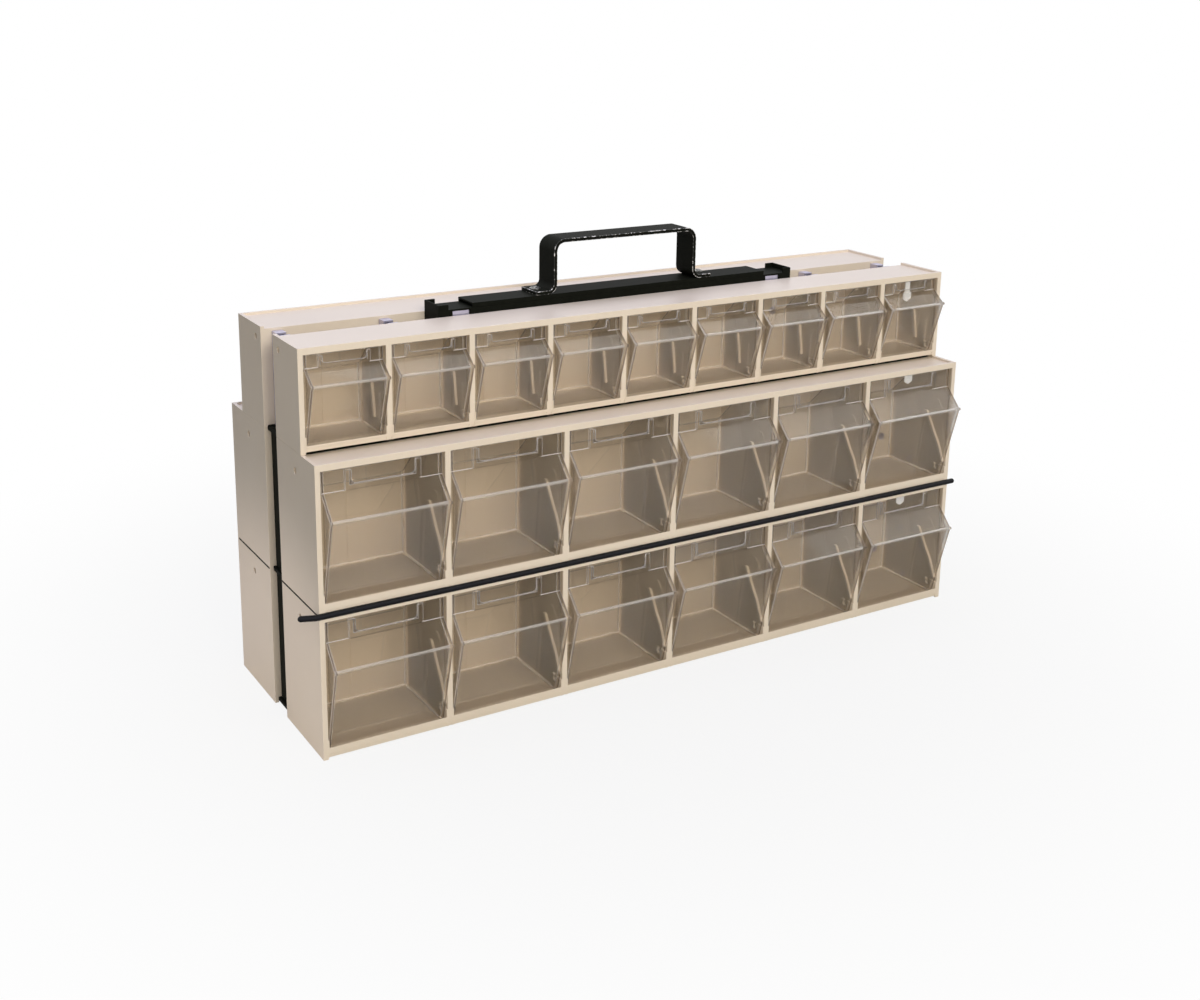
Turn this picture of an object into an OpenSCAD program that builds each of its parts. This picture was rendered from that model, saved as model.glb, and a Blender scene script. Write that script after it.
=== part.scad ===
// Double-sided parts bin cabinet: six moulded cases of tilt-out bins, back to back on a
// steel carry frame with a strap handle.  The front cases face -Y.  The origin is at the
// middle of the base, +X to the right of the front side and +Z up.

/* [Cases] */
// Width of every case
case_w = 600; // [560:1:640]
// Height of a six-bin case
large_h = 112; // [104:0.5:120]
// Depth of a six-bin case, from its front frame to its back face
large_d = 76; // [72:0.5:84]
// Bins in a six-bin case
large_bins = 6; // [6:1:6]
// Height of a nine-bin case
small_h = 77; // [72:0.5:84]
// Depth of a nine-bin case, from its front frame to its back face
small_d = 50; // [47:0.5:56]
// Bins in a nine-bin case
small_bins = 9; // [9:1:9]
// Space between the backs of the front and the rear cases
back_gap = 26; // [22:0.5:30]

/* [Case walls] */
// Thickness of the end walls
end_t = 3; // [2.6:0.1:3.4]
// Thickness of the back wall, the floor and the top
skin_t = 2; // [1.6:0.1:2.4]
// Thickness of the dividers behind their front bars
divider_t = 2.4; // [2:0.1:2.8]
// Depth of the front frame's rails and bars
frame_t = 2.4; // [2:0.1:3]
// Width of the bar at each divider's front edge
bar_w = 4.4; // [4:0.1:5]
// Width of the bar at each end of the front frame
end_bar_w = 4; // [3.8:0.1:4.6]
// Height of the front frame's top rail
top_rail_h = 5; // [4.5:0.1:6]
// Height of a six-bin case's bottom rail
large_rail_h = 7.7; // [5:0.1:7.9]
// Height of a nine-bin case's bottom rail
small_rail_h = 4.7; // [3:0.1:5]
// Height of the bottom rail's lower band, which is set back
rail_band_h = 2.6; // [1:0.1:2.8]
// How far that band is set back
rail_band_step = 0.5; // [0.2:0.1:1]
// How far the bottom rail's top falls from its front edge to its back edge
rail_fall = 1.5; // [1.2:0.1:2]
// How far the end walls and the front rail stand above the top
rim_h = 2; // [1:0.1:2.4]
// How far the end walls reach below the floor
foot_h = 1.5; // [1:0.1:2]
// Width of the fine groove down the middle of each compartment's back wall
groove_w = 0.8; // [0.4:0.1:1.2]
// Depth of that groove
groove_depth = 0.4; // [0.2:0.1:0.6]
// Diameter of the hole near the top of each end wall
end_hole_dia = 5; // [4.7:0.1:6]
// Distance of that hole behind the front frame
end_hole_back = 39; // [34:0.5:42]
// Distance of that hole below the top of a six-bin case
large_hole_drop = 15; // [12:0.5:20]
// Distance of that hole below the top of a nine-bin case
small_hole_drop = 9.5; // [8:0.5:14]

/* [Bins] */
// Wall thickness of a bin
bin_t = 1.6; // [1.2:0.1:2]
// Radius of the rounded foot of a large bin, about its hinge
large_foot_r = 8; // [7.4:0.1:9]
// Radius of the rounded foot of a small bin, about its hinge
small_foot_r = 5.2; // [4.8:0.1:5.8]
// How far a large bin's finger lip stands in front of the case
large_nose = 15; // [10:0.5:18]
// How far a small bin's finger lip stands in front of the case
small_nose = 12; // [8:0.5:14]
// Height of a large bin's finger lip above the base of its case
large_nose_z = 73; // [66:0.5:78]
// Height of a small bin's finger lip above the base of its case
small_nose_z = 51; // [46:0.5:54]
// Radius of the bead along the finger lip
lip_r = 1.3; // [1:0.1:1.6]
// Height of a large bin's upright label panel
large_panel_h = 17; // [12:0.5:20]
// Height of a small bin's upright label panel
small_panel_h = 10.5; // [9:0.5:13]
// Height of a large bin's back wall
large_back_h = 66; // [55:0.5:72]
// Height of a small bin's back wall
small_back_h = 44; // [36:0.5:48]
// Running gap at each side of a bin
side_play = 1.2; // [1:0.1:1.4]
// Running gap under a bin and in front of its foot
foot_play = 0.5; // [0.4:0.1:0.7]
// Running gap above a bin
top_play = 0.8; // [0.6:0.1:1.4]
// Gap behind a bin
rear_play = 1.2; // [0.8:0.1:2]

/* [Bin hinges] */
// Radius of the hinge pins on a bin's sides
pin_r = 2.2; // [1.8:0.1:2.4]
// Radial clearance of a pin in its seat
pin_play = 0.1; // [0.05:0.01:0.1]
// Clearance at the end of a pin
pin_end_play = 0.3; // [0.2:0.05:0.4]
// How far a hinge seat stands out beside the front bar
seat_proud = 0.8; // [0.5:0.1:0.9]
// Depth of a hinge seat behind the pin's middle
seat_back = 5; // [4:0.1:7]
// Height of a hinge seat above the pin's middle
seat_rise = 3; // [2.5:0.1:5]

/* [Label holders] */
// Width of a large bin's label holder
large_label_w = 58; // [45:0.5:75]
// Width of a small bin's label holder
small_label_w = 39; // [30:0.5:48]
// Width of a large label holder's sides and foot
large_label_bar = 5; // [3:0.1:6]
// Width of a small label holder's sides and foot
small_label_bar = 3.2; // [2.4:0.1:4]
// How far a label holder stands in front of its panel
label_stand = 1.8; // [1.4:0.1:2]
// Thickness of the slot that a label slides into
label_slot = 0.8; // [0.5:0.1:1]
// Depth that the slot reaches behind the holder's sides
label_hold = 1.6; // [1:0.1:2]

/* [Catches] */
// Width of a catch's neck
catch_neck_w = 5.4; // [4.4:0.1:6]
// Width of a catch's head
catch_head_w = 9; // [7.6:0.1:10]
// Height of a catch's head, with its point
catch_head_h = 8; // [6.6:0.1:8.4]
// Height of the point
catch_point_h = 2.4; // [1.4:0.1:3]
// Thickness of a catch
catch_t = 0.8; // [0.6:0.1:0.9]
// Gap between a catch and the label panel in front of it
catch_gap = 0.7; // [0.5:0.1:0.8]
// Reach of a catch below the top of a large bin's compartment
large_catch_drop = 10.5; // [9:0.1:10.8]
// Reach of a catch below the top of a small bin's compartment
small_catch_drop = 20.5; // [16:0.1:21]
// Length of the leg with which a catch lies under the top
catch_leg = 9; // [8:0.5:12]
// Radius of the moulded peg that holds a catch's leg
catch_peg_r = 1.4; // [1:0.1:1.6]

/* [Carry frame] */
// Clearance between the frame and the case backs
frame_play = 0.2; // [0.1:0.05:0.3]
// Thickness of the frame's sheet steel
sheet_t = 1.5; // [1:0.1:2]
// Depth of an upright's flanges
upright_d = 20; // [18:0.5:26]
// Distance of an upright from the end of the cases
upright_inset = 5; // [3:0.5:10]
// Thickness of the flat cross ties
tie_t = 3; // [2:0.1:4]
// Height of the bottom tie above the base
tie_lift = 2; // [1.5:0.1:4]
// Width of a post, left to right
post_w = 14.5; // [12:0.5:18]
// Distance of a post's middle from the middle of the cabinet
post_x = 149.5; // [148:0.5:156]
// Half the length of the top channel
channel_half = 169; // [166:1:176]
// Height of the channel's web above the cases
channel_rise = 3; // [2:0.1:6]
// Depth of the channel's skirts
channel_skirt = 18; // [14:0.5:24]
// Height of the channel's end plates above its web
channel_end_rise = 4; // [2:0.1:6]
// Length of the end plates' returned corners
channel_return = 8.5; // [6:0.5:9]
// Clearance at each side of a post in its window in the skirts
window_play = 0.25; // [0.1:0.05:0.5]
// Width of the hanger straps behind the nine-bin cases
strap_width = 8; // [6:0.5:10]
// Depth of the hanger straps
strap_d = 9; // [6:0.5:10]
// Distance of the outer hanger straps from the middle of the cabinet
outer_strap_x = 287.5; // [280:0.5:289]
// Distance of the inner hanger straps from the middle of the cabinet
inner_strap_x = 203; // [186:0.5:240]
// Distance of the hanger straps' tops below the top of the cases
strap_drop = 4; // [3:0.5:8]

/* [Handle] */
// Half the length of the handle plate
plate_half = 140; // [110:1:141]
// Height of the handle plate
plate_h = 3.5; // [2.6:0.1:5]
// Half the outer length of the handle
handle_half = 68; // [60:1:80]
// Height of the handle's top above the cases
handle_rise = 50; // [44:1:70]
// Width of the handle strap
strap_w = 25; // [20:0.5:25.5]
// Thickness of the handle strap
strap_t = 3; // [2:0.1:4]
// Outer radius of the handle's top corners
handle_corner_r = 10; // [7:0.5:16]
// Inner radius of the bends at the handle's feet
foot_bend_r = 5; // [3:0.5:7]
// Flat length of each of the handle's feet
foot_flat = 11; // [9.5:0.5:16]

/* [Rivets and screws] */
// Radius of the handle rivets' shanks
rivet_r = 2.5; // [2:0.1:3]
// Radius of the handle rivets' heads
rivet_head_r = 4.4; // [3.8:0.1:4.6]
// Height of the handle rivets' heads
rivet_head_h = 2; // [1.4:0.1:2.6]
// Radius of the case screws' shanks
screw_r = 1.75; // [1.5:0.05:1.9]
// Radius of the case screws' countersunk heads
screw_head_r = 3.6; // [3.2:0.1:4]
// Length of the case screws
screw_len = 7; // [5:0.5:8]
// Radial clearance of rivets and screws in their holes
fastener_play = 0.05; // [0.02:0.01:0.1]
// Height of the lower screws above the base of a six-bin case
screw_low = 25; // [20:1:30]
// Height of the upper screws above the base of a six-bin case
screw_high = 90; // [80:1:95]
// Height of the screws above the base of a nine-bin case
screw_small = 48; // [30:1:50]

/* [Locking rod] */
// Radius of the locking rod
rod_r = 2.25; // [2:0.05:2.3]
// Clearance of the rod in its groove along the seam
rod_play = 0.1; // [0.05:0.01:0.2]
// How far the rod reaches past the right end of the cases
rod_right = 7.5; // [4:0.5:10]
// How far its bent grip reaches past the left end of the cases
rod_left = 14.5; // [12:0.5:17]
// How far the grip bends back
rod_bend = 3.6; // [1:0.1:6]

/* [Hidden] */
$fn = 48;

// Sides of the cabinet, as a turn about Z, and rows of cases from the base up.
front = 0;
rear = 180;
bottom = 0;
middle = 1;
top = 2;
row_z = [0, large_h, 2 * large_h];
stack_h = 2 * large_h + small_h;

// Sizes that differ between the large cases, kind 0, and the small ones, kind 1.
function kind(row) = row == top ? 1 : 0;
case_h = [large_h, small_h];
case_d = [large_d, small_d];
bins = [large_bins, small_bins];
rail_h = [large_rail_h, small_rail_h];
hole_drop = [large_hole_drop, small_hole_drop];
foot_r = [large_foot_r, small_foot_r];
nose = [large_nose, small_nose];
nose_z = [large_nose_z, small_nose_z];
panel_h = [large_panel_h, small_panel_h];
back_h = [large_back_h, small_back_h];
label_w = [large_label_w, small_label_w];
label_bar = [large_label_bar, small_label_bar];
catch_drop = [large_catch_drop, small_catch_drop];

// Compartments, in a frame whose Y runs back from the case's front and whose Z starts at
// its base.
eps = 1;
floor_top = foot_h + skin_t;
bar_step = (bar_w - divider_t) / 2;
function opening_w(k) = (case_w - 2 * end_bar_w - (bins[k] - 1) * bar_w) / bins[k];
function compartment_x(k, i) = -case_w / 2 + end_bar_w + opening_w(k) / 2 + (i - 1) * (opening_w(k) + bar_w);
function divider_x(k, i) = compartment_x(k, i) + (opening_w(k) + bar_w) / 2;

// The hinge axis of a bin, and the circle that the bin turns within.
function hinge_y(k) = frame_t + foot_play + foot_r[k];
function hinge_z(k) = floor_top + foot_play + foot_r[k];
function hinge(k) = [hinge_y(k), hinge_z(k)];
function rail_reach(k) = norm([hinge_y(k) - frame_t, case_h[k] - top_rail_h - hinge_z(k)]);
function top_reach(k) = case_h[k] - rim_h - skin_t - hinge_z(k);
function reach(k) = min(rail_reach(k), top_reach(k)) - top_play;

// Outline of a bin's side.  The front wall leans out from the foot to the lip, and the
// front above the lip leans back to the label panel.
bin_floor = floor_top + foot_play;
panel_y = frame_t + 0.1;
foot_swell = 0.05; // The foot's arc stands this much proud of the walls that it joins.
function bin_w(k) = opening_w(k) - 2 * side_play;
function bin_rear(k) = case_d[k] - skin_t - rear_play;
function lip(k) = [lip_r - nose[k], nose_z[k]];
function panel_foot(k) = [panel_y, case_h[k] - top_rail_h - panel_h[k]];
function lean(k) = let (v = lip(k) - hinge(k)) atan2(-v[0], v[1]) - asin(foot_r[k] / norm(v));
function foot_tangent(k, r) = hinge(k) - r * [cos(lean(k)), sin(lean(k))];
function crossing(p, a, q, b) = p + a * ((q - p) * [b[1], -b[0]]) / (a * [b[1], -b[0]]);
function inner_lip(k) =
    let (up = panel_foot(k) - lip(k), n = [up[1], -up[0]] / norm(up))
    crossing(foot_tangent(k, foot_r[k] - bin_t), [-sin(lean(k)), cos(lean(k))], lip(k) + bin_t * n, up);
function inner_panel_foot(k) =
    let (up = panel_foot(k) - lip(k))
    crossing(inner_lip(k), up, [panel_y + bin_t, 0], [0, 1]);

module across(w) {
    rotate([90, 0, 90]) linear_extrude(w, center = true) children();
}

// The outer form of a bin, seen from its side.
module bin_outline(k) {
    rear_y = bin_rear(k);
    back_z = bin_floor + back_h[k];
    intersection() {
        union() {
            polygon([
                [hinge_y(k), bin_floor], [rear_y, bin_floor], [rear_y, back_z],
                [panel_y, back_z + rear_y - panel_y], panel_foot(k), lip(k),
                foot_tangent(k, foot_r[k]), hinge(k)
            ]);
            translate(hinge(k)) circle(foot_r[k] + foot_swell);
            translate(lip(k)) circle(lip_r);
        }
        translate(hinge(k)) circle(reach(k), $fn = 160);
    }
}

// The hollow inside that form, open at the top.
module bin_hollow(k) {
    rear_y = bin_rear(k) - bin_t;
    polygon([
        [hinge_y(k), bin_floor + bin_t], [rear_y, bin_floor + bin_t], [rear_y, case_h[k]],
        [panel_y + bin_t, case_h[k]], inner_panel_foot(k), inner_lip(k),
        foot_tangent(k, foot_r[k] - bin_t), hinge(k)
    ]);
    translate(hinge(k)) circle(foot_r[k] - bin_t + foot_swell);
}

// A U of two sides and a foot, open at the top, with rounded inner corners.
module holder_window(w, h, r) {
    translate([-w / 2, r]) square([w, h - r]);
    translate([r - w / 2, 0]) square([w - 2 * r, r + eps]);
    for (s = [-1, 1]) translate([s * (w / 2 - r), r]) circle(r);
}

// The label holder stands on the panel and takes a card from above.
module label_holder(k) {
    w = label_w[k];
    bar = label_bar[k];
    z0 = panel_foot(k)[1];
    h = panel_h[k] - top_play - 1;
    translate([0, panel_y - label_stand, z0]) difference() {
        translate([-w / 2, 0, 0]) cube([w, label_stand + bin_t / 2, h]);
        translate([0, label_stand + bin_t, bar]) rotate([90, 0, 0])
            linear_extrude(2 * label_stand + bin_t) holder_window(w - 2 * bar, h, bar * 0.6);
        translate([bar - label_hold - w / 2, label_stand - label_slot, bar - label_hold])
            cube([w - 2 * (bar - label_hold), label_slot, h]);
    }
}

// One clear bin, with a hinge pin on each side of its foot.
module bin(k) {
    pin_len = side_play + bar_step - pin_end_play;
    color([0.80, 0.80, 0.76, 0.45]) {
        difference() {
            across(bin_w(k)) bin_outline(k);
            across(bin_w(k) - 2 * bin_t) bin_hollow(k);
        }
        label_holder(k);
        for (s = [-1, 1])
            translate([s * (bin_w(k) + pin_len) / 2, hinge_y(k), hinge_z(k)])
                rotate([0, 90, 0]) cylinder(pin_len, r = pin_r, center = true);
    }
}

// The bottom rail of the front frame, with its lower band set back.  Its top slopes, so
// that an open bin's front wall clears its back edge.
module bottom_rail(k) {
    across(case_w) polygon([
        [rail_band_step, foot_h], [frame_t, foot_h], [frame_t, foot_h + rail_h[k] - rail_fall],
        [0, foot_h + rail_h[k]], [0, foot_h + rail_band_h], [rail_band_step, foot_h + rail_band_h]
    ]);
}

// The walls of a case: a box open at the front, with a frame around the opening.
module case_shell(k) {
    w = case_w;
    h = case_h[k];
    d = case_d[k];
    for (s = [-1, 1]) {
        translate([s * (w - end_t) / 2, d / 2, h / 2]) cube([end_t, d, h], center = true);
        translate([s * (w - end_bar_w) / 2, frame_t / 2, h / 2])
            cube([end_bar_w, frame_t, h], center = true);
    }
    translate([-w / 2, d - skin_t, foot_h]) cube([w, skin_t, h - rim_h - foot_h]);
    translate([-w / 2, 0, h - rim_h - skin_t]) cube([w, d, skin_t]);
    translate([-w / 2, frame_t / 2, foot_h]) cube([w, d - frame_t / 2, skin_t]);
    translate([-w / 2, 0, h - top_rail_h]) cube([w, frame_t, top_rail_h]);
    bottom_rail(k);
}

// The dividers, each a thin plate behind a wider front bar.
module dividers(k) {
    plate_h = case_h[k] - rim_h - foot_h;
    for (i = [1 : bins[k] - 1]) translate([divider_x(k, i), 0, foot_h]) {
        translate([-divider_t / 2, frame_t / 2, 0]) cube([divider_t, case_d[k] - frame_t / 2, plate_h]);
        translate([-bar_w / 2, 0, skin_t]) cube([bar_w, frame_t, plate_h - skin_t]);
    }
}

// The hinge seats at the foot of both sides of every compartment.
module hinge_seats(k) {
    w = seat_proud + bar_step;
    for (i = [1 : bins[k]], s = [-1, 1])
        translate([compartment_x(k, i) + s * (opening_w(k) / 2 - seat_proud + w / 2), 0, foot_h])
            translate([-w / 2, 0, 0])
                cube([w, hinge_y(k) + seat_back, hinge_z(k) + seat_rise - foot_h]);
}

// What a bin's pins drop into: a round-bottomed slot in both seats, open above.
module pin_slots(k) {
    r = pin_r + pin_play;
    w = opening_w(k) + 2 * bar_step;
    for (i = [1 : bins[k]]) translate([compartment_x(k, i), hinge_y(k), hinge_z(k)]) {
        rotate([0, 90, 0]) cylinder(w, r = r, center = true);
        translate([-w / 2, -r, 0]) cube([w, 2 * r, seat_rise + eps]);
    }
}

// The peg under the top of the last compartment, which holds its catch's leg.
function ceiling(k) = case_h[k] - rim_h - skin_t;
catch_y = panel_y + bin_t + catch_gap;
catch_peg_y = catch_y + catch_leg - 2 * catch_peg_r;

module catch_peg(k) {
    translate([compartment_x(k, bins[k]), catch_peg_y, ceiling(k) - 2 * catch_t])
        cylinder(2 * catch_t + skin_t / 2, r = catch_peg_r);
}

// A catch: a strip that hangs behind the label panel of a row's last bin, with a wider,
// pointed head, and is bent back under the top of the compartment.
module row_catch(k) {
    drop = catch_drop[k];
    shoulder = catch_head_h - drop;
    point = catch_point_h - drop;
    difference() {
        union() {
            translate([0, catch_y + catch_t, 0]) rotate([90, 0, 0]) linear_extrude(catch_t) polygon([
                [-catch_neck_w / 2, 0], [-catch_neck_w / 2, shoulder + catch_t], [-catch_head_w / 2, shoulder],
                [-catch_head_w / 2, point], [0, -drop], [catch_head_w / 2, point],
                [catch_head_w / 2, shoulder], [catch_neck_w / 2, shoulder + catch_t], [catch_neck_w / 2, 0]
            ]);
            translate([-catch_neck_w / 2, catch_y, -catch_t]) cube([catch_neck_w, catch_leg, catch_t]);
        }
        translate([0, catch_peg_y, -2 * catch_t]) cylinder(3 * catch_t, r = catch_peg_r + fastener_play);
    }
}

module row_catches() {
    color([0.86, 0.88, 0.90]) for (side = [front, rear], row = [bottom, middle, top])
        on_side(side, row) translate([compartment_x(kind(row), bins[kind(row)]), 0, ceiling(kind(row))])
            row_catch(kind(row));
}

// Holes for the screws that hold a case to the frame, from inside its end compartments,
// or beside the posts on a nine-bin case.
function screw_x(k) = k == 0 ? case_w / 2 - upright_inset - upright_d / 2 : post_x;
function screw_zs(k) = k == 0 ? [screw_low, screw_high] : [screw_small];

module screw_holes(k) {
    for (s = [-1, 1], z = screw_zs(k)) translate([s * screw_x(k), case_d[k], z]) rotate([90, 0, 0]) {
        translate([0, 0, -eps]) cylinder(skin_t + 2 * eps, r = screw_r + fastener_play);
        cylinder(skin_t, r1 = screw_r + fastener_play, r2 = screw_head_r + fastener_play);
    }
}

// One moulded case.  seam_z lists the heights at which the locking rod's groove runs.
module bin_case(k, seam_z) {
    color([0.78, 0.73, 0.64]) difference() {
        union() {
            case_shell(k);
            dividers(k);
            hinge_seats(k);
            catch_peg(k);
        }
        pin_slots(k);
        screw_holes(k);
        for (s = [-1, 1]) translate([s * (case_w - end_t) / 2, end_hole_back, case_h[k] - hole_drop[k]])
            rotate([0, 90, 0]) cylinder(end_t + eps, d = end_hole_dia, center = true);
        for (i = [1 : bins[k]])
            translate([compartment_x(k, i) - groove_w / 2, case_d[k] - skin_t - eps, floor_top])
                cube([groove_w, groove_depth + eps, case_h[k] - rim_h - skin_t - floor_top]);
        for (z = seam_z) translate([0, 0, z]) rotate([0, 90, 0])
            cylinder(case_w + 2 * eps, r = rod_r + rod_play, center = true);
    }
}

// A case or a bin in its place on one side of the cabinet.
module on_side(side, row) {
    rotate([0, 0, side]) translate([0, -back_gap / 2 - case_d[kind(row)], row_z[row]]) children();
}

function seams(side, row) = side == rear || row == top ? [] : row == bottom ? [large_h] : [0];

module case_in(side, row) {
    on_side(side, row) bin_case(kind(row), seams(side, row));
}

module bin_in(side, row, i) {
    on_side(side, row) translate([compartment_x(kind(row), i), 0, 0]) bin(kind(row));
}

// The carry frame stands in the space between the backs.
frame_w = back_gap - 2 * frame_play;
inner_w = frame_w - 2 * sheet_t;
upright_x = case_w / 2 - upright_inset;
tie_top = row_z[top] + tie_t / 3;
web_top = stack_h + channel_rise;
skirt_foot = web_top - channel_skirt;
plate_top = web_top + plate_h;

module upright(s) {
    z0 = tie_lift + tie_t;
    h = tie_top - tie_t - z0;
    color([0.16, 0.16, 0.12]) difference() {
        translate([s * (upright_x - upright_d / 2), 0, z0 + h / 2]) difference() {
            cube([upright_d, frame_w, h], center = true);
            translate([-s * sheet_t, 0, 0]) cube([upright_d, inner_w, h + eps], center = true);
        }
        translate([s * upright_x, 0, row_z[middle]])
            cube([4 * sheet_t, inner_w, tie_t + 2 * fastener_play], center = true);
        for (row = [bottom, middle], z = screw_zs(0)) translate([s * screw_x(0), 0, row_z[row] + z])
            rotate([90, 0, 0]) cylinder(frame_w + eps, r = screw_r + fastener_play, center = true);
    }
}

// Flat ties under, between and on top of the uprights.
module cross_ties() {
    tie_len = case_w - upright_inset;
    color([0.13, 0.13, 0.11]) {
        translate([0, 0, tie_lift + tie_t / 2]) cube([tie_len, frame_w, tie_t], center = true);
        translate([0, 0, row_z[middle]]) cube([tie_len, inner_w, tie_t], center = true);
        translate([0, 0, tie_top - tie_t / 2]) cube([tie_len, frame_w, tie_t], center = true);
    }
}

// Plated box posts from the top tie up into the channel.
module posts() {
    color([0.70, 0.71, 0.78]) for (s = [-1, 1]) translate([s * post_x, 0, 0]) difference() {
        union() {
            translate([-post_w / 2, -frame_w / 2, tie_top]) cube([post_w, frame_w, skirt_foot - tie_top]);
            translate([-post_w / 2, -inner_w / 2, tie_top])
                cube([post_w, inner_w, web_top - sheet_t - tie_top]);
        }
        translate([sheet_t - post_w / 2, sheet_t - inner_w / 2, tie_top - eps])
            cube([post_w - 2 * sheet_t, inner_w - 2 * sheet_t, web_top - tie_top + 2 * eps]);
        translate([0, 0, row_z[top] + screw_small]) rotate([90, 0, 0])
            cylinder(frame_w + eps, r = screw_r + fastener_play, center = true);
    }
}

// Plated straps that stand on the top tie, close behind the nine-bin cases.
module hanger_straps() {
    h = stack_h - strap_drop - tie_top;
    color([0.70, 0.71, 0.78]) for (side = [front, rear]) rotate([0, 0, side])
        for (x = [outer_strap_x, inner_strap_x], s = [-1, 1])
            translate([s * x, -(frame_w - strap_d) / 2, tie_top]) difference() {
                translate([-strap_width / 2, -strap_d / 2, 0]) cube([strap_width, strap_d, h]);
                translate([sheet_t - strap_width / 2, sheet_t - strap_d / 2, -eps])
                    cube([strap_width - 2 * sheet_t, strap_d, h - sheet_t + eps]);
            }
}

// The channel across the gap, with windows for the posts and turned-up ends.
module top_channel() {
    window_w = post_w + 2 * window_play;
    top_z = web_top + channel_end_rise;
    color([0.10, 0.11, 0.08]) difference() {
        translate([-channel_half, -frame_w / 2, skirt_foot])
            cube([2 * channel_half, frame_w, top_z - skirt_foot]);
        translate([-channel_half + sheet_t, -inner_w / 2, skirt_foot - eps])
            cube([2 * (channel_half - sheet_t), inner_w, channel_skirt - sheet_t + eps]);
        translate([-channel_half + sheet_t, -inner_w / 2, web_top])
            cube([2 * (channel_half - sheet_t), inner_w, channel_end_rise + eps]);
        translate([-channel_half + channel_return, -frame_w / 2 - eps, web_top])
            cube([2 * (channel_half - channel_return), frame_w + 2 * eps, channel_end_rise + eps]);
        for (s = [-1, 1]) {
            translate([s * post_x - window_w / 2, -frame_w / 2 - eps, skirt_foot - eps])
                cube([window_w, frame_w + 2 * eps, channel_skirt - sheet_t + eps]);
            translate([s * rivet_x, 0, web_top]) cylinder(4 * sheet_t, r = rivet_r + fastener_play, center = true);
        }
    }
}

// A folded plate that stiffens the channel under the handle.
module handle_plate() {
    color([0.10, 0.11, 0.08]) translate([0, 0, web_top]) difference() {
        translate([-plate_half, -frame_w / 2, 0]) cube([2 * plate_half, frame_w, plate_h]);
        translate([-plate_half - eps, -inner_w / 2, -eps])
            cube([2 * (plate_half + eps), inner_w, plate_h - sheet_t + eps]);
        for (s = [-1, 1]) translate([s * rivet_x, 0, 0]) cylinder(2 * plate_h, r = rivet_r + fastener_play);
    }
}

// The strap handle: a U with rounded corners and feet that turn outwards.
rivet_x = handle_half + foot_bend_r + foot_flat / 2;
handle_top = stack_h + handle_rise;

module quarter_ring(r, t) {
    intersection() {
        difference() {
            circle(r);
            circle(r - t);
        }
        square(r);
    }
}

module half_strap() {
    r = handle_corner_r;
    bend = foot_bend_r + strap_t;
    leg_foot = plate_top + bend;
    translate([-eps, handle_top - strap_t]) square([handle_half - r + eps, strap_t]);
    translate([handle_half - r, handle_top - r]) quarter_ring(r, strap_t);
    translate([handle_half - strap_t, leg_foot]) square([strap_t, handle_top - r - leg_foot]);
    translate([handle_half + foot_bend_r, leg_foot]) rotate(180) quarter_ring(bend, strap_t);
    translate([handle_half + foot_bend_r, plate_top]) square([foot_flat, strap_t]);
}

module handle() {
    color([0.09, 0.10, 0.07]) difference() {
        rotate([90, 0, 0]) linear_extrude(strap_w, center = true) {
            half_strap();
            mirror([1, 0]) half_strap();
        }
        for (s = [-1, 1]) translate([s * rivet_x, 0, plate_top - eps])
            cylinder(strap_t + 2 * eps, r = rivet_r + fastener_play);
    }
}

// One rivet through each foot, the plate and the channel's web.
module handle_rivets() {
    stack = strap_t + plate_h + sheet_t;
    color([0.20, 0.20, 0.18]) for (s = [-1, 1]) translate([s * rivet_x, 0, plate_top + strap_t]) {
        intersection() {
            cylinder(rivet_head_h, r = rivet_head_r);
            translate([0, 0, rivet_head_h - 8]) sphere(8);
        }
        translate([0, 0, -stack]) cylinder(stack + eps / 2, r = rivet_r);
        translate([0, 0, -stack - sheet_t]) cylinder(sheet_t, r = rivet_head_r * 0.85);
    }
}

// Countersunk screws from inside the compartments into the uprights and posts.
module case_screw() {
    head_h = skin_t - 2 * fastener_play;
    rotate([90, 0, 0]) {
        translate([0, 0, skin_t - screw_len]) cylinder(screw_len - head_h / 2, r = screw_r);
        translate([0, 0, skin_t - head_h - fastener_play])
            cylinder(head_h, r1 = screw_r, r2 = screw_head_r - fastener_play);
    }
}

module case_screws() {
    color([0.62, 0.62, 0.60]) for (side = [front, rear], row = [bottom, middle, top])
        on_side(side, row) for (s = [-1, 1], z = screw_zs(kind(row)))
            translate([s * screw_x(kind(row)), case_d[kind(row)], z]) case_screw();
}

// One leg of the bent rod, from the elbow to a rounded end.  Its side of the mitre is 0 on the
// straight leg and 1 on the grip.
module rod_leg(len, turn, mitre, side) {
    difference() {
        rotate([0, 0, turn]) translate([-rod_r, 0, 0]) rotate([0, 90, 0]) cylinder(len + rod_r, r = rod_r);
        rotate([0, 0, mitre]) translate([4 * rod_r * (side - 1), -2 * rod_r, -2 * rod_r]) cube(4 * rod_r);
    }
    rotate([0, 0, turn]) translate([len, 0, 0]) sphere(rod_r);
}

// The locking rod, half sunk in the groove along the seam of the front's large cases, with
// its grip bent back.
module locking_rod() {
    elbow_x = -case_w / 2 - rod_r;
    right_x = case_w / 2 + rod_right - rod_r;
    grip = [rod_left - 2 * rod_r, rod_bend];
    bend = atan2(grip[1], grip[0]);
    color([0.05, 0.05, 0.07]) translate([elbow_x, -back_gap / 2 - large_d, row_z[middle]]) {
        rod_leg(right_x - elbow_x, 0, -bend / 2, 0);
        rod_leg(norm(grip), 180 - bend, -bend / 2, 1);
    }
}

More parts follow.
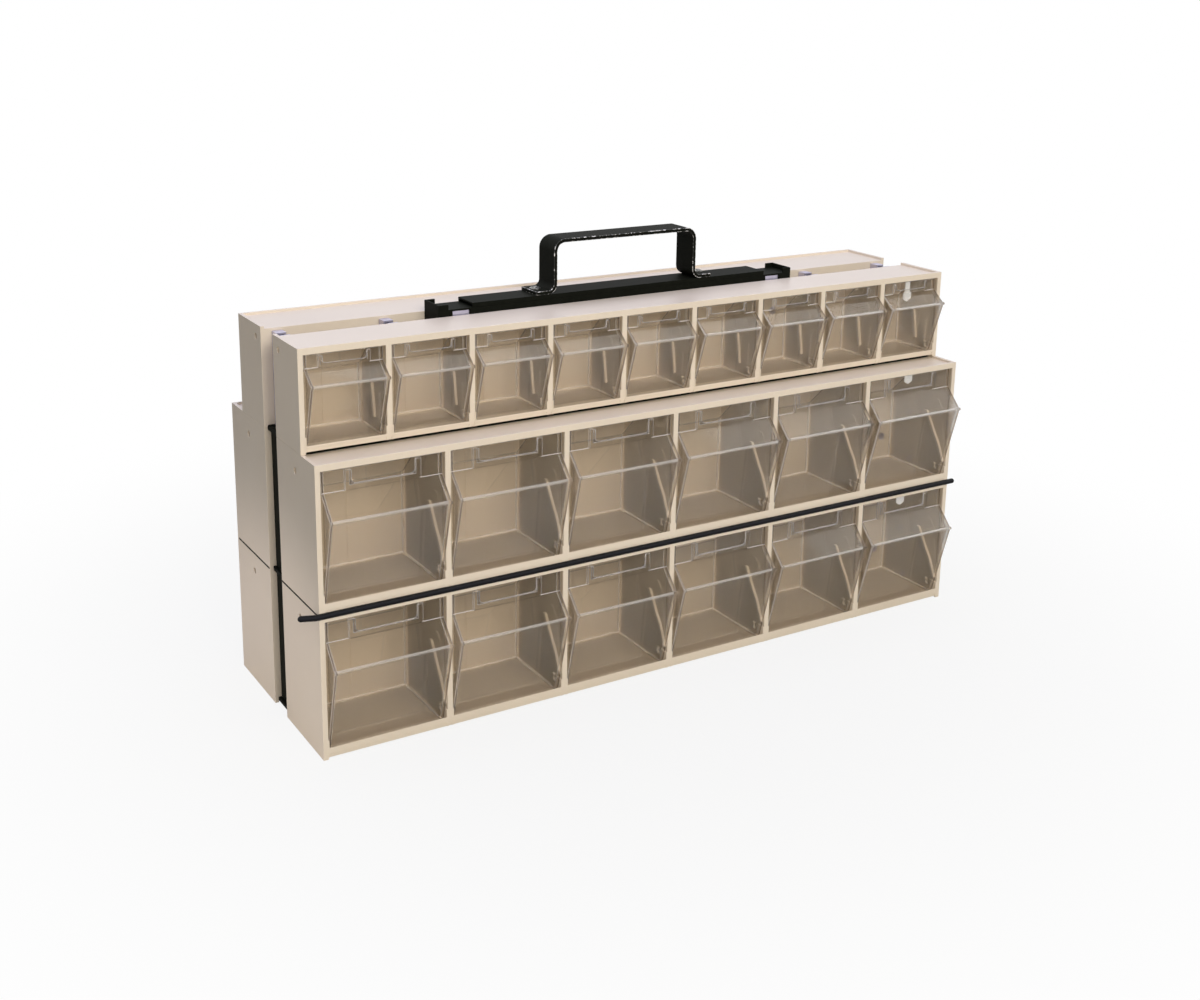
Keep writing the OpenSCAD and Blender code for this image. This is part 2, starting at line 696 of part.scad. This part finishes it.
case_in(front, top);  // case_front_top
case_in(front, middle);  // case_front_middle
case_in(front, bottom);  // case_front_bottom
case_in(rear, top);  // case_rear_top
case_in(rear, middle);  // case_rear_middle
case_in(rear, bottom);  // case_rear_bottom
bin_in(front, top, 1);  // bin_front_top_1
bin_in(front, top, 2);  // bin_front_top_2
bin_in(front, top, 3);  // bin_front_top_3
bin_in(front, top, 4);  // bin_front_top_4
bin_in(front, top, 5);  // bin_front_top_5
bin_in(front, top, 6);  // bin_front_top_6
bin_in(front, top, 7);  // bin_front_top_7
bin_in(front, top, 8);  // bin_front_top_8
bin_in(front, top, 9);  // bin_front_top_9
bin_in(front, middle, 1);  // bin_front_middle_1
bin_in(front, middle, 2);  // bin_front_middle_2
bin_in(front, middle, 3);  // bin_front_middle_3
bin_in(front, middle, 4);  // bin_front_middle_4
bin_in(front, middle, 5);  // bin_front_middle_5
bin_in(front, middle, 6);  // bin_front_middle_6
bin_in(front, bottom, 1);  // bin_front_bottom_1
bin_in(front, bottom, 2);  // bin_front_bottom_2
bin_in(front, bottom, 3);  // bin_front_bottom_3
bin_in(front, bottom, 4);  // bin_front_bottom_4
bin_in(front, bottom, 5);  // bin_front_bottom_5
bin_in(front, bottom, 6);  // bin_front_bottom_6
bin_in(rear, top, 1);  // bin_rear_top_1
bin_in(rear, top, 2);  // bin_rear_top_2
bin_in(rear, top, 3);  // bin_rear_top_3
bin_in(rear, top, 4);  // bin_rear_top_4
bin_in(rear, top, 5);  // bin_rear_top_5
bin_in(rear, top, 6);  // bin_rear_top_6
bin_in(rear, top, 7);  // bin_rear_top_7
bin_in(rear, top, 8);  // bin_rear_top_8
bin_in(rear, top, 9);  // bin_rear_top_9
bin_in(rear, middle, 1);  // bin_rear_middle_1
bin_in(rear, middle, 2);  // bin_rear_middle_2
bin_in(rear, middle, 3);  // bin_rear_middle_3
bin_in(rear, middle, 4);  // bin_rear_middle_4
bin_in(rear, middle, 5);  // bin_rear_middle_5
bin_in(rear, middle, 6);  // bin_rear_middle_6
bin_in(rear, bottom, 1);  // bin_rear_bottom_1
bin_in(rear, bottom, 2);  // bin_rear_bottom_2
bin_in(rear, bottom, 3);  // bin_rear_bottom_3
bin_in(rear, bottom, 4);  // bin_rear_bottom_4
bin_in(rear, bottom, 5);  // bin_rear_bottom_5
bin_in(rear, bottom, 6);  // bin_rear_bottom_6
upright(-1);  // upright_left
upright(1);  // upright_right
cross_ties();
posts();
top_channel();
handle_plate();
handle();
handle_rivets();
case_screws();
row_catches();
hanger_straps();
locking_rod();
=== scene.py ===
"""Double-sided parts bin cabinet: clear tilt-out bins in cream cases on a black carry frame."""

import math

import bmesh
import bpy
from mathutils import Matrix, Vector


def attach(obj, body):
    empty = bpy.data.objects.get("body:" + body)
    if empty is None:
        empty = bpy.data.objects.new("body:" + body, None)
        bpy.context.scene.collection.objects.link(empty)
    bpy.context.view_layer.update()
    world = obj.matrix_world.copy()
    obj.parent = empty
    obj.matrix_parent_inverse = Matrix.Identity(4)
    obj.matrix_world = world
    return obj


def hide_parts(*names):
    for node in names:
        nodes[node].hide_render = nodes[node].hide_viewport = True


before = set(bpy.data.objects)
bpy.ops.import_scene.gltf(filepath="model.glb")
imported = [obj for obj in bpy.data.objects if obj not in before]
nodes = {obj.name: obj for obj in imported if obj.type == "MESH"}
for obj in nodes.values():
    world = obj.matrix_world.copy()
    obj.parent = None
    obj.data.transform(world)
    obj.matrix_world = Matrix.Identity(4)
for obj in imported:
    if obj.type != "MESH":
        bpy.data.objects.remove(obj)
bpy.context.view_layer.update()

scene = bpy.context.scene

# The camera stands to the left of the front side, a little above the handle.  Its lens is
# shifted down by an eighth of the picture's width, which keeps the cases' ends upright.
lens_px, picture_w, lens_shift = 1501.7, 1200, -0.125
azimuth, elevation, roll = math.radians(31.58), math.radians(14.158), math.radians(0.895)
camera_place = (-0.6462, -1.0238, 0.5559)
camera_data = bpy.data.cameras.new("camera")
camera_data.sensor_width = 36
camera_data.lens = lens_px / picture_w * camera_data.sensor_width
camera_data.shift_y = lens_shift
camera = bpy.data.objects.new("camera", camera_data)
scene.collection.objects.link(camera)
looks = Vector((math.sin(azimuth) * math.cos(elevation),
                math.cos(azimuth) * math.cos(elevation), -math.sin(elevation)))
turn = looks.to_track_quat("-Z", "Y").to_matrix().to_4x4() @ Matrix.Rotation(roll, 4, "Z")
camera.matrix_world = Matrix.Translation(camera_place) @ turn
scene.camera = camera


# Six moulded ABS cases, each an open-fronted box with a frame of rails and bars round its
# bins.  The mould leaves a fine satin grain and breaks every edge by a third of a millimetre.
def material(name):
    made = bpy.data.materials.new(name)
    made.use_nodes = True
    return made, made.node_tree.nodes, made.node_tree.links, made.node_tree.nodes["Principled BSDF"]


def noise(tree_nodes, links, scale, detail, stretch=(1, 1, 1)):
    """A noise texture on the object's own coordinates, with scale in cycles per metre."""
    place = tree_nodes.new("ShaderNodeTexCoord")
    mapping = tree_nodes.new("ShaderNodeMapping")
    texture = tree_nodes.new("ShaderNodeTexNoise")
    mapping.inputs["Scale"].default_value = stretch
    texture.inputs["Scale"].default_value = scale
    texture.inputs["Detail"].default_value = detail
    links.new(place.outputs["Object"], mapping.inputs["Vector"])
    links.new(mapping.outputs["Vector"], texture.inputs["Vector"])
    return texture


def ramp(tree_nodes, links, factor, stops):
    """A colour ramp through (position, colour) stops."""
    made = tree_nodes.new("ShaderNodeValToRGB")
    while len(made.color_ramp.elements) < len(stops):
        made.color_ramp.elements.new(0.5)
    for element, (position, colour) in zip(made.color_ramp.elements, stops):
        element.position = position
        element.color = (*colour, 1)
    links.new(factor, made.inputs["Fac"])
    return made


def bump(tree_nodes, links, height, shader, depth, strength):
    """Relief of a depth in metres on a shader."""
    made = tree_nodes.new("ShaderNodeBump")
    made.inputs["Distance"].default_value = depth
    made.inputs["Strength"].default_value = strength
    links.new(height, made.inputs["Height"])
    links.new(made.outputs["Normal"], shader.inputs["Normal"])


def cream_plastic(name, tones):
    """Satin plastic, mottled between a dull, a middle and a bright tone."""
    made, tree_nodes, links, shader = material(name)
    mottle = noise(tree_nodes, links, 14, detail=4)
    tone = ramp(tree_nodes, links, mottle.outputs["Fac"], list(zip((0.25, 0.55, 0.8), tones)))
    links.new(tone.outputs["Color"], shader.inputs["Base Color"])
    shader.inputs["Roughness"].default_value = 0.38
    shader.inputs["Specular IOR Level"].default_value = 0.75
    grain = noise(tree_nodes, links, 2600, detail=2)
    bump(tree_nodes, links, grain.outputs["Fac"], shader, 0.00004, 0.5)
    return made


def welded(node):
    """A bmesh of a CAD node with its triangles joined and its flat faces whole again."""
    weld_gap, flat_turn = 2e-6, math.radians(0.5)
    mesh = bmesh.new()
    mesh.from_mesh(nodes[node].data)
    bmesh.ops.remove_doubles(mesh, verts=mesh.verts, dist=weld_gap)
    bmesh.ops.dissolve_limit(mesh, angle_limit=flat_turn, verts=mesh.verts, edges=mesh.edges)
    return mesh


def sharp_edges(mesh):
    """The edges that turn by more than 25 degrees."""
    sharp = math.radians(25)
    return [e for e in mesh.edges if len(e.link_faces) == 2 and e.calc_face_angle() > sharp]


def break_edges(mesh, edges, width, segments=2, finish=0):
    """Rounds edges.  The strips take the finish of that number."""
    made = bmesh.ops.bevel(mesh, geom=edges, offset=width, offset_type="OFFSET",
                           segments=segments, profile=0.5, affect="EDGES", material=-1,
                           clamp_overlap=False)
    for face in made["faces"]:
        face.material_index = finish


def finished(name, mesh, finishes, body, slot, *stands_for):
    """Turns a bmesh into a piece that rides on a body and replaces CAD nodes.  Its rounded
    edges are shaded smooth, while its flat faces stay flat."""
    same_sweep = 0.75
    normals = []
    for face in mesh.faces:
        face.smooth = True
        for vert in face.verts:
            near = (f for f in vert.link_faces if f.normal.dot(face.normal) > same_sweep)
            normals.append(sum((f.normal * f.calc_area() for f in near), Vector()).normalized())
    data = bpy.data.meshes.new(name)
    mesh.to_mesh(data)
    mesh.free()
    data.normals_split_custom_set(normals)
    piece = bpy.data.objects.new(name, data)
    scene.collection.objects.link(piece)
    for finish in finishes:
        data.materials.append(finish)
    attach(piece, body)
    if stands_for:
        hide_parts(*stands_for)


case_edge = 0.0003
cream = cream_plastic("cream_plastic",
                      [(0.720, 0.620, 0.490), (0.740, 0.640, 0.505), (0.755, 0.658, 0.525)])
for side in ("front", "rear"):
    for row in ("top", "middle", "bottom"):
        node = f"case_{side}_{row}"
        shell = welded(node)
        break_edges(shell, sharp_edges(shell), case_edge)
        finished(f"{node}_shell", shell, [cream], "cabinet", "case_plastic", node)


# Slanted ribs, moulded with the cases on both sides of every divider and inside both end
# walls.  The bins rub along them as they tilt.  Their paler cream is painted light on their faces.
def shift(mesh, extruded, vec):
    """Moves what an extrusion has made."""
    bmesh.ops.translate(mesh, vec=vec,
                        verts=[v for v in extruded if isinstance(v, bmesh.types.BMVert)])


def to_side(mesh, side):
    """Turns a piece made for the front side to the side that it belongs on."""
    if side == "rear":
        bmesh.ops.rotate(mesh, verts=mesh.verts, cent=(0, 0, 0),
                         matrix=Matrix.Rotation(math.pi, 3, "Z"))


def slanted_ribs(count, case_d, base, line):
    """A row's ribs along a line of (back from the front, above the base) points, all in
    millimetres."""
    case_w, end_wall, bar, half_gap = 600, 4, 4.4, 13
    rib_w, reach, buried, shown = 3.2, 3.2, 1.8, 1.0
    inner_end = case_w / 2 - end_wall
    first_bar = -inner_end - bar / 2
    step = -2 * first_bar / count
    front = -case_d - half_gap - rib_w / 2
    mesh = bmesh.new()
    for i in range(count + 1):
        divider = first_bar + step * i
        low, high = divider - reach, divider + reach
        if i == 0:
            low, high = -inner_end - buried, -inner_end + shown
        elif i == count:
            low, high = inner_end - shown, inner_end + buried
        spine = [mesh.verts.new((low / 1000, (front + u) / 1000, (base + z) / 1000))
                 for u, z in line]
        edges = [mesh.edges.new(pair) for pair in zip(spine, spine[1:])]
        wide = bmesh.ops.extrude_edge_only(mesh, edges=edges)["geom"]
        shift(mesh, wide, (0, rib_w / 1000, 0))
        flank = [f for f in wide if isinstance(f, bmesh.types.BMFace)]
        thick = bmesh.ops.extrude_face_region(mesh, geom=flank, use_keep_orig=True)["geom"]
        shift(mesh, thick, ((high - low) / 1000, 0, 0))
    bmesh.ops.recalc_face_normals(mesh, faces=mesh.faces)
    break_edges(mesh, sharp_edges(mesh), case_edge)
    return mesh


# The ribs' pale tones are painted light, brighter than the case's own cream.
painted_light_ribs = cream_plastic("ribs_painted_light", [(0.88, 0.79, 0.65), (0.90, 0.81, 0.67), (0.92, 0.83, 0.70)])
large_rib = [(28.5, 61), (18, 43.5), (12.5, 36), (4.5, 19)]
small_rib = [(28.5, 38), (26.2, 26), (24, 13)]
for row, count, case_d, base, line in (("top", 9, 50, 224, small_rib),
                                       ("middle", 6, 76, 112, large_rib),
                                       ("bottom", 6, 76, 0, large_rib)):
    for side in ("front", "rear"):
        ribs = slanted_ribs(count, case_d, base, line)
        to_side(ribs, side)
        finished(f"ribs_{side}_{row}", ribs, [painted_light_ribs], "cabinet", "case_plastic")


# Forty-two bins, moulded in clear polystyrene.  Their walls meet in soft inner corners, and
# every outer edge is rounded.  The crest, the edges and the inner corners are painted whiter and
# less clear, as painted highlight lines.  Where their walls are seen edge-on, or stand before
# the case, they are painted brown, as painted shade.
def larger(tree_nodes, links, first, second):
    """The larger of a socket and another socket or number."""
    made = tree_nodes.new("ShaderNodeMath")
    made.operation = "MAXIMUM"
    links.new(first, made.inputs[0])
    if isinstance(second, float):
        made.inputs[1].default_value = second
    else:
        links.new(second, made.inputs[1])
    return made.outputs["Value"]


def mixed(tree_nodes, links, share, first, second):
    """Two shaders, with the second one's share."""
    made = tree_nodes.new("ShaderNodeMixShader")
    links.new(share, made.inputs["Fac"])
    links.new(first, made.inputs[1])
    links.new(second, made.inputs[2])
    return made.outputs["Shader"]


def polystyrene(name, colour, transmission, roughness, pass_through):
    """Clear plastic.  Lamps and light from walls pass it with a warm loss, and so does a share
    of what is seen through it, which keeps its reflections thin."""
    made, tree_nodes, links, shader = material(name)
    shader.inputs["Base Color"].default_value = (*colour, 1)
    shader.inputs["Transmission Weight"].default_value = transmission
    shader.inputs["Roughness"].default_value = roughness
    shader.inputs["IOR"].default_value = 1.55
    passed = tree_nodes.new("ShaderNodeBsdfTransparent")
    passed.inputs["Color"].default_value = (0.99, 0.975, 0.953, 1)
    path = tree_nodes.new("ShaderNodeLightPath")
    lighting = larger(tree_nodes, links, path.outputs["Is Shadow Ray"],
                      path.outputs["Is Diffuse Ray"])
    share = larger(tree_nodes, links, lighting, pass_through)
    surface = mixed(tree_nodes, links, share, shader.outputs["BSDF"], passed.outputs["BSDF"])
    links.new(surface, tree_nodes["Material Output"].inputs["Surface"])
    return made


# How far the edges, the crest of the nose and the hollow's corners are rounded; the walls'
# thickness, alone and with the pin beside it; and how near to a plane counts as on it.
bin_edge, bin_crest, bin_corner = 0.00035, 0.00055, 0.0010
bin_wall, wall_and_pin = 0.0016, 0.0035
on_plane, on_cut = 0.0001, 1e-6
# A face lies along x when its normal has less than this of x, and across x when it has more.
along_x, across_x = 0.3, 0.9
wall, crest_strip, edge_strip, corner_strip, edge_on_shade, cheek_shade = range(6)
# The crest, edge and corner finishes are painted highlight: whiter and less clear than the walls.
clear = [polystyrene("clear_walls", (0.93, 0.90, 0.86), 1.0, 0.02, 0.83),
         # The edge-on and cheek finishes are painted shade: brown, where the walls look dark.
         polystyrene("crest_painted_highlight", (0.99, 0.97, 1.0), 0.15, 0.12, 0.0),
         polystyrene("edges_painted_highlight", (0.93, 0.90, 0.90), 0.62, 0.12, 0.25),
         polystyrene("hollow_corners", (0.95, 0.92, 0.88), 0.55, 0.10, 0.35),
         polystyrene("walls_edge_on_painted_shade", (0.20, 0.155, 0.12), 1.0, 0.10, 0.12),
         polystyrene("cheeks_painted_shade", (0.22, 0.18, 0.15), 1.0, 0.05, 0.40)]


def side_walls(mesh):
    """A tray's middle along x, and how far from it the inner faces of its side walls are."""
    across = [v.co.x for v in mesh.verts]
    middle = (min(across) + max(across)) / 2
    return middle, max(across) - middle - wall_and_pin


def cut(mesh, parts, place, normal):
    """Cuts parts of a mesh along a plane, and gives back what they have become."""
    return bmesh.ops.bisect_plane(mesh, geom=parts, dist=on_cut, plane_co=place,
                                  plane_no=normal)["geom"]


def hollow_corners(mesh):
    """The concave edges along the side walls of a tray's hollow, and those across it."""
    middle, inner = side_walls(mesh)
    return [e for e in sharp_edges(mesh) if not e.is_convex
            and all(abs(abs(v.co.x - middle) - inner) < on_plane for v in e.verts)]


def crest(mesh):
    """The long edge across the front wall where the nose reaches furthest."""
    reach, shortest = max(abs(v.co.y) for v in mesh.verts), 0.03
    return [e for e in sharp_edges(mesh) if e.calc_length() > shortest
            and all(abs(abs(v.co.y) - reach) < on_plane for v in e.verts)]


def mark_side_walls(mesh):
    """Gives the narrow faces along both side walls, seen edge-on, their brown painted shade."""
    middle, inner = side_walls(mesh)
    for side in (-1, 1):
        cut(mesh, mesh.verts[:] + mesh.edges[:] + mesh.faces[:],
            (middle + side * inner, 0, 0), (1, 0, 0))
    for face in mesh.faces:
        out = abs(face.calc_center_median().x - middle)
        if (face.material_index == wall and abs(face.normal.x) < along_x
                and inner < out < inner + bin_wall):
            face.material_index = edge_on_shade


def mark_cheeks(mesh, case_front):
    """Gives the parts of the side walls that stand before the case their brown painted shade."""
    outward = 1 if sum(v.co.y for v in mesh.verts) > 0 else -1
    cut(mesh, mesh.verts[:] + mesh.edges[:] + mesh.faces[:],
        (0, outward * case_front, 0), (0, 1, 0))
    for face in mesh.faces:
        if (face.material_index == wall and abs(face.normal.x) > across_x
                and outward * face.calc_center_median().y > case_front):
            face.material_index = cheek_shade


def soften_bend(mesh, bend_z, half_holder):
    """Leaves the bend under the label holder clear.  Its two ends keep their painted highlight."""
    middle, thickness = side_walls(mesh)[0], 0.002
    bend = [f for f in mesh.faces if f.material_index == edge_strip
            and all(abs(v.co.z - bend_z) < thickness for v in f.verts)
            and max(v.co.x for v in f.verts) - min(v.co.x for v in f.verts) > half_holder]
    for side in (-1, 1):
        rims = list({v for f in bend for v in f.verts}) + list({e for f in bend for e in f.edges})
        parts = cut(mesh, rims + bend, (middle + side * half_holder, 0, 0), (1, 0, 0))
        bend = [part for part in parts if isinstance(part, bmesh.types.BMFace)]
    for face in bend:
        if abs(face.calc_center_median().x - middle) < half_holder:
            face.material_index = wall


# For each row: its bins, how far its front is from the cabinet's middle, the height of the
# bend under the label panels, and half a label holder's width.
for side in ("front", "rear"):
    for row, count, case_front, bend_z, half_holder in (("top", 9, 0.063, 0.2855, 0.0195),
                                                        ("middle", 6, 0.089, 0.202, 0.029),
                                                        ("bottom", 6, 0.089, 0.090, 0.029)):
        for i in range(1, count + 1):
            node = f"bin_{side}_{row}_{i}"
            tray = welded(node)
            break_edges(tray, hollow_corners(tray), bin_corner, segments=4, finish=corner_strip)
            break_edges(tray, crest(tray), bin_crest, segments=3, finish=crest_strip)
            break_edges(tray, sharp_edges(tray), bin_edge, finish=edge_strip)
            mark_side_walls(tray)
            mark_cheeks(tray, case_front)
            soften_bend(tray, bend_z, half_holder)
            finished(f"{node}_tray", tray, clear, f"{side}_{row}_{i}", "bin_plastic", node)


# The carry frame between the backs: two folded uprights that the six-bin cases are screwed
# to, three flat ties, the top channel and the plate under the handle.  All are sheet steel,
# painted black.
def black_paint():
    made, tree_nodes, links, shader = material("black_paint")
    wear = noise(tree_nodes, links, 260, detail=6)
    tone = ramp(tree_nodes, links, wear.outputs["Fac"],
                [(0.0, (0.003, 0.0034, 0.0022)), (0.6, (0.006, 0.0067, 0.0045)),
                 (1.0, (0.012, 0.012, 0.009))])
    links.new(tone.outputs["Color"], shader.inputs["Base Color"])
    shader.inputs["Roughness"].default_value = 0.6
    shader.inputs["Specular IOR Level"].default_value = 0.05
    peel = noise(tree_nodes, links, 900, detail=2)
    bump(tree_nodes, links, peel.outputs["Fac"], shader, 0.00005, 0.5)
    return made


paint = black_paint()
steel_edge = 0.0003
for node in ("upright_left", "upright_right", "cross_ties", "top_channel", "handle_plate"):
    bar = welded(node)
    break_edges(bar, sharp_edges(bar), steel_edge)
    finished(f"{node}_bar", bar, [paint], "cabinet", "frame_steel", node)


# Flat black plates that the nine-bin cases stand on, put in as painted shade: they make the dark
# line in the gap under the front rails.  Thin black strips at both ends, where the six-bin cases
# meet, are painted shade in that seam.
def flat_plate(size, middle):
    """A plate for the front side, of a size about its middle."""
    plate = bmesh.new()
    bmesh.ops.create_cube(plate, size=1)
    bmesh.ops.scale(plate, vec=size, verts=plate.verts)
    bmesh.ops.translate(plate, vec=middle, verts=plate.verts)
    return plate


for side in ("front", "rear"):
    plate = flat_plate((0.590, 0.030, 0.0029), (0, -0.043, 0.22385))
    to_side(plate, side)
    break_edges(plate, sharp_edges(plate), steel_edge)
    finished(f"seam_shade_plate_{side}", plate, [paint], "cabinet", "frame_steel")
for side in ("front", "rear"):
    strip = flat_plate((0.6003, 0.0715, 0.0013), (0, -0.04975, 0.112))
    to_side(strip, side)
    finished(f"seam_shade_strip_{side}", strip, [paint], "cabinet", "frame_steel")


# The handle, a flat bar bent to a low arch with two feet.  Hands and hooks have rubbed the
# paint through to pale metal in specks along its edges.
def rubbed_steel():
    made, tree_nodes, links, shader = material("rubbed_steel")
    specks = noise(tree_nodes, links, 420, detail=5)
    tone = ramp(tree_nodes, links, specks.outputs["Fac"],
                [(0.50, (0.006, 0.006, 0.005)), (0.56, (0.40, 0.39, 0.37)),
                 (0.66, (0.80, 0.78, 0.76))])
    links.new(tone.outputs["Color"], shader.inputs["Base Color"])
    shader.inputs["Roughness"].default_value = 0.45
    return made


rubbed_edge, rubbed_strip = 0.0005, 1
handle = welded("handle")
break_edges(handle, sharp_edges(handle), rubbed_edge, finish=rubbed_strip)
finished("handle_bar", handle, [paint, rubbed_steel()], "cabinet", "frame_steel", "handle")


# Two box posts that stand in the windows of the channel, and the countersunk screws that hold
# the cases to them and to the uprights.  All are zinc plated with a bluish cast.
def zinc_plate():
    made, tree_nodes, links, shader = material("zinc_plate")
    bloom = noise(tree_nodes, links, 90, detail=4)
    tone = ramp(tree_nodes, links, bloom.outputs["Fac"],
                [(0.3, (0.50, 0.48, 0.62)), (0.7, (0.68, 0.66, 0.80))])
    links.new(tone.outputs["Color"], shader.inputs["Base Color"])
    shader.inputs["Metallic"].default_value = 0.8
    shader.inputs["Roughness"].default_value = 0.42
    return made


zinc = zinc_plate()
post = welded("posts")
break_edges(post, sharp_edges(post), steel_edge)
finished("posts_plated", post, [zinc], "cabinet", "zinc_plate", "posts")
screws = welded("case_screws")
finished("screws_plated", screws, [zinc], "cabinet", "screw_steel", "case_screws")


# Eight straps, folded from thin zinc-plated sheet.  They stand on the top tie, close behind
# the nine-bin cases, on both sides of the channel.
straps = welded("hanger_straps")
strap_edge = 0.0002
break_edges(straps, sharp_edges(straps), strap_edge)
finished("hanger_straps_plated", straps, [zinc], "cabinet", "zinc_plate", "hanger_straps")


# Six bright catches, plated strips with pointed heads.  Each is fixed in its case and hangs
# behind the label panel of its row's last bin.
def bright_plate():
    made, tree_nodes, links, shader = material("bright_plate")
    shader.inputs["Base Color"].default_value = (0.86, 0.89, 0.92, 1)
    shader.inputs["Metallic"].default_value = 0.35
    shader.inputs["Roughness"].default_value = 0.5
    return made


catches = welded("row_catches")
catch_edge = 0.0001
break_edges(catches, sharp_edges(catches), catch_edge)
finished("row_catches_plated", catches, [bright_plate()], "cabinet", "catch_plate", "row_catches")


# The handle's rivets, one through each foot and the plate under it.  They are steel, domed by
# the set, with rubbed bright crowns.
def rivet_steel():
    made, tree_nodes, links, shader = material("rivet_steel")
    rub = noise(tree_nodes, links, 700, detail=3)
    tone = ramp(tree_nodes, links, rub.outputs["Fac"],
                [(0.4, (0.03, 0.03, 0.026)), (0.62, (0.45, 0.45, 0.42))])
    links.new(tone.outputs["Color"], shader.inputs["Base Color"])
    shader.inputs["Metallic"].default_value = 0.7
    shader.inputs["Roughness"].default_value = 0.35
    return made


rivets = welded("handle_rivets")
finished("rivets_headed", rivets, [rivet_steel()], "cabinet", "rivet_steel", "handle_rivets")


# The locking rod, round steel bar with a blue-black gloss, drawn with faint lines along it.
# It lies in the groove between the two front six-bin cases, and its bent end stops it.
def rod_black():
    made, tree_nodes, links, shader = material("rod_black")
    shader.inputs["Base Color"].default_value = (0.003, 0.003, 0.005, 1)
    shader.inputs["Roughness"].default_value = 0.18
    shader.inputs["Specular IOR Level"].default_value = 0.25
    draw = noise(tree_nodes, links, 300, detail=2, stretch=(0.05, 1, 1))
    bump(tree_nodes, links, draw.outputs["Fac"], shader, 0.00004, 0.4)
    return made


rod = welded("locking_rod")
finished("locking_rod_bar", rod, [rod_black()], "locking_rod_body", "rod_steel", "locking_rod")


# The floor, a plain pale sheet.  It keeps a soft shadow round the cabinet and runs out to
# white three quarters of a metre from the cabinet's middle.
def pale_floor():
    made, tree_nodes, links, shader = material("pale_floor")
    shader.inputs["Base Color"].default_value = (0.46, 0.45, 0.39, 1)
    shader.inputs["Roughness"].default_value = 0.9
    shader.inputs["Specular IOR Level"].default_value = 0.1
    glow = tree_nodes.new("ShaderNodeEmission")
    glow.inputs["Strength"].default_value = 1.0
    place = tree_nodes.new("ShaderNodeTexCoord")
    away = tree_nodes.new("ShaderNodeVectorMath")
    away.operation = "LENGTH"
    links.new(place.outputs["Object"], away.inputs[0])
    fade = tree_nodes.new("ShaderNodeMapRange")
    fade.interpolation_type = "SMOOTHSTEP"
    fade.inputs["From Min"].default_value = 0.15
    fade.inputs["From Max"].default_value = 0.75
    fade.inputs["To Min"].default_value = 0.86
    fade.inputs["To Max"].default_value = 1.0
    links.new(away.outputs["Value"], fade.inputs["Value"])
    shown = mixed(tree_nodes, links, fade.outputs["Result"],
                  shader.outputs["BSDF"], glow.outputs["Emission"])
    path = tree_nodes.new("ShaderNodeLightPath")
    seen = larger(tree_nodes, links, path.outputs["Is Camera Ray"],
                  path.outputs["Is Transmission Ray"])
    surface = mixed(tree_nodes, links, seen, shader.outputs["BSDF"], shown)
    links.new(surface, tree_nodes["Material Output"].inputs["Surface"])
    return made


floor_mesh = bmesh.new()
bmesh.ops.create_circle(floor_mesh, cap_ends=True, segments=64, radius=8)
floor_data = bpy.data.meshes.new("floor")
floor_mesh.to_mesh(floor_data)
floor_mesh.free()
floor_data.materials.append(pale_floor())
floor = bpy.data.objects.new("floor", floor_data)
scene.collection.objects.link(floor)


# Soft studio light: a broad key and a lower fill before the front side, a cool sheet overhead,
# and a low spot that lights the feet of the left ends.  The world is white where it is seen and
# dim where it lights.
def hung(name, lamp, place, target):
    """A lamp in its place, turned to its target."""
    held = bpy.data.objects.new(name, lamp)
    scene.collection.objects.link(held)
    aim = (Vector(target) - Vector(place)).to_track_quat("-Z", "Y").to_matrix().to_4x4()
    held.matrix_world = Matrix.Translation(place) @ aim
    held.visible_glossy = held.visible_transmission = held.visible_camera = False


def softbox(name, place, target, size, watts, colour):
    lamp = bpy.data.lights.new(name, "AREA")
    lamp.shape = "RECTANGLE"
    lamp.size, lamp.size_y = size
    lamp.energy = watts
    lamp.color = colour
    hung(name, lamp, place, target)


spot = bpy.data.lights.new("low_fill", "SPOT")
spot.energy, spot.color = 50, (1.0, 0.94, 1.0)
spot.spot_size, spot.spot_blend = math.radians(17), 0.3
spot.shadow_soft_size = 0.05
hung("low_fill", spot, (-2.2, -0.10, 0.10), (-0.3, 0, -0.115))
softbox("key", (0.05, -2.20, 1.65), (0, 0, 0.15), (1.4, 1.0), 28, (1.0, 0.97, 0.94))
softbox("front_fill", (-0.68, -2.20, 1.15), (0, 0, 0.15), (1.2, 0.8), 21, (1.0, 0.97, 0.95))
softbox("overhead", (-0.1, 0.15, 2.8), (0, 0, 0.2), (2.2, 1.8), 32, (0.96, 1.03, 1.60))

world = bpy.data.worlds.new("studio")
scene.world = world
world.use_nodes = True
world_nodes, world_links = world.node_tree.nodes, world.node_tree.links
ambient = world_nodes["Background"]
ambient.inputs["Color"].default_value = (1, 0.97, 0.86, 1)
ambient.inputs["Strength"].default_value = 0.24
white = world_nodes.new("ShaderNodeBackground")
white.inputs["Color"].default_value = (1, 1, 1, 1)
white.inputs["Strength"].default_value = 1.0
sight = world_nodes.new("ShaderNodeLightPath")
through = larger(world_nodes, world_links, sight.outputs["Is Transmission Ray"],
                 sight.outputs["Is Glossy Ray"])
seen = larger(world_nodes, world_links, sight.outputs["Is Camera Ray"], through)
backdrop = mixed(world_nodes, world_links, seen,
                 ambient.outputs["Background"], white.outputs["Background"])
world_links.new(backdrop, world_nodes["World Output"].inputs["Surface"])

scene.view_settings.view_transform = "Standard"
